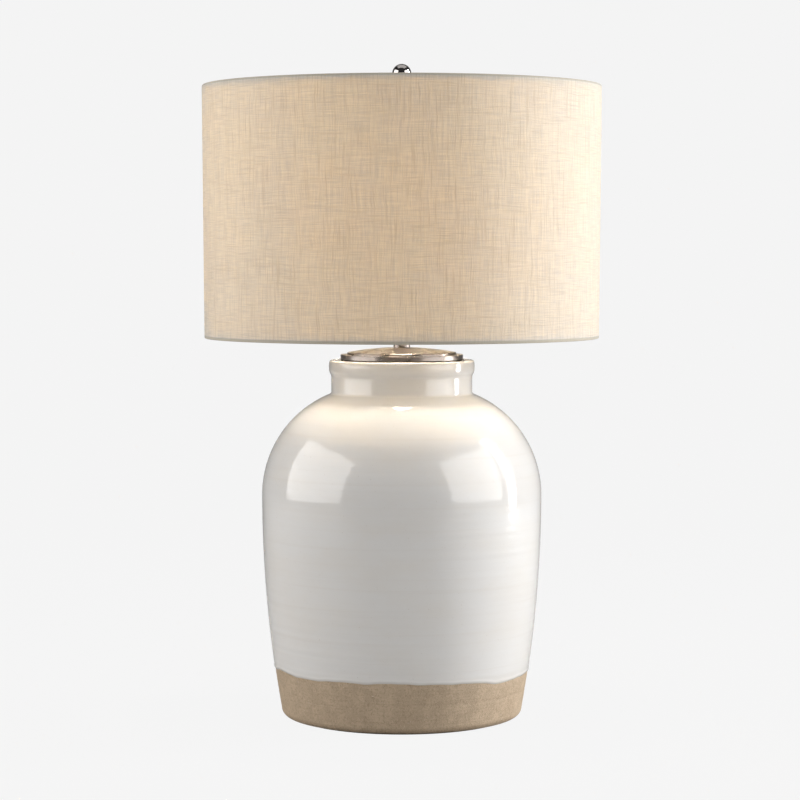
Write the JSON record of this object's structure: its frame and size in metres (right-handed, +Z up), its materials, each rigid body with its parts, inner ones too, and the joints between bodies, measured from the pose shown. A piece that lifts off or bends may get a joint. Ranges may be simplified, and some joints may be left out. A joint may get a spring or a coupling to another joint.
{
  "type": "table lamp with shade",
  "caption": "Table lamp with a glazed stoneware jar base, a metal cap and neck, a harp, a screw-in bulb and a linen drum shade held by a ball finial.",
  "frame": {"origin": "centre of the underside, on the surface the lamp stands on", "axes": "+Z up along the lamp's axis, -Y to the front where the switch knob points, +X to the right seen from the front"},
  "size_m": [0.4579, 0.458, 0.7532],
  "materials": {
    "stoneware": "bare fired clay, matt, speckled",
    "glaze": "glossy off-white glaze",
    "felt": "wool felt",
    "black_rubber": "matt",
    "zinc_steel": "zinc plated",
    "polished_nickel": "polished nickel plate",
    "linen": "natural linen with slubs",
    "styrene": "white lining sheet",
    "white_wire": "white powder coat",
    "socket_brass": "nickel and brass plate",
    "fibre_paper": "insulating paper",
    "phenolic": "moulded",
    "contact_metal": "bright",
    "contact_brass": "plain",
    "bulb_glass": "frosted",
    "lit_rod": "light-giving rod"
  },
  "bodies": {
    "base": {"jar_body": "stoneware", "jar_glaze": "glaze", "base_felt": "felt", "cord_grommet": "black_rubber", "threaded_rod": "zinc_steel", "base_washer": "zinc_steel", "lock_washer": "zinc_steel", "rod_nut": "zinc_steel", "cap_gasket": "felt", "vase_cap": "polished_nickel", "check_ring": "polished_nickel", "neck_tube": "polished_nickel", "harp_saddle": "polished_nickel", "socket_cap": "socket_brass", "socket_shell": "socket_brass", "socket_insulator": "fibre_paper", "socket_body": "phenolic", "screw_shell": "contact_metal", "center_contact": "contact_brass", "terminal_screws": "contact_brass"},
    "knob": {"switch_stem": "phenolic", "switch_knob": "phenolic"},
    "harp": {"harp_wire": "polished_nickel", "harp_crown": "polished_nickel"},
    "sleeve_left": {"harp_sleeve_left": "polished_nickel"},
    "sleeve_right": {"harp_sleeve_right": "polished_nickel"},
    "stud": {"harp_stud": "polished_nickel"},
    "shade": {"shade_fabric": "linen", "shade_liner": "styrene", "shade_bottom_ring": "white_wire", "shade_spider": "white_wire"},
    "finial_thread": {"finial_collar": "polished_nickel"},
    "finial": {"finial_ball": "polished_nickel"},
    "bulb_contact": {"bulb_tip": "contact_metal", "bulb_insulator": "phenolic"},
    "bulb": {"bulb_base": "contact_metal", "bulb_glass": "bulb_glass", "bulb_mount": "bulb_glass", "bulb_filament": "lit_rod"}
  },
  "joints": [
    {"name": "knob_turn", "type": "hinge", "parent": "base", "child": "knob", "pos_m": [0, -0.02, 0.489], "axis": [0, -1, 0], "continuous": true},
    {"name": "harp_lift", "type": "slide", "parent": "base", "child": "harp", "axis": [0, 0, 1], "range_m": [0, 0.025]},
    {"name": "sleeve_left_slide", "type": "slide", "parent": "harp", "child": "sleeve_left", "axis": [0, 0, 1], "range_m": [0, 0.018]},
    {"name": "sleeve_right_slide", "type": "slide", "parent": "harp", "child": "sleeve_right", "axis": [0, 0, 1], "range_m": [0, 0.018]},
    {"name": "shade_swivel", "type": "hinge", "parent": "harp", "child": "stud", "pos_m": [0, 0, 0.71], "axis": [0, 0, 1], "continuous": true},
    {"name": "shade_lift", "type": "slide", "parent": "stud", "child": "shade", "axis": [0, 0, 1], "range_m": [0, 0.3]},
    {"name": "finial_rise", "type": "slide", "parent": "shade", "child": "finial_thread", "axis": [0, 0, 1], "range_m": [0, 0.0075]},
    {"name": "finial_turn", "type": "hinge", "parent": "finial_thread", "child": "finial", "pos_m": [0, 0, 0.735], "axis": [0, 0, 1], "range_deg": [0, 2880]},
    {"name": "bulb_rise", "type": "slide", "parent": "base", "child": "bulb_contact", "axis": [0, 0, 1], "range_m": [0, 0.0217]},
    {"name": "bulb_turn", "type": "hinge", "parent": "bulb_contact", "child": "bulb", "pos_m": [0, 0, 0.52], "axis": [0, 0, 1], "range_deg": [0, 2160]}
  ],
  "couplings": [
    {"joint": "finial_turn", "follows": "finial_rise", "rad_per_m": 6679},
    {"joint": "bulb_turn", "follows": "bulb_rise", "rad_per_m": 1731.6}
  ]
}
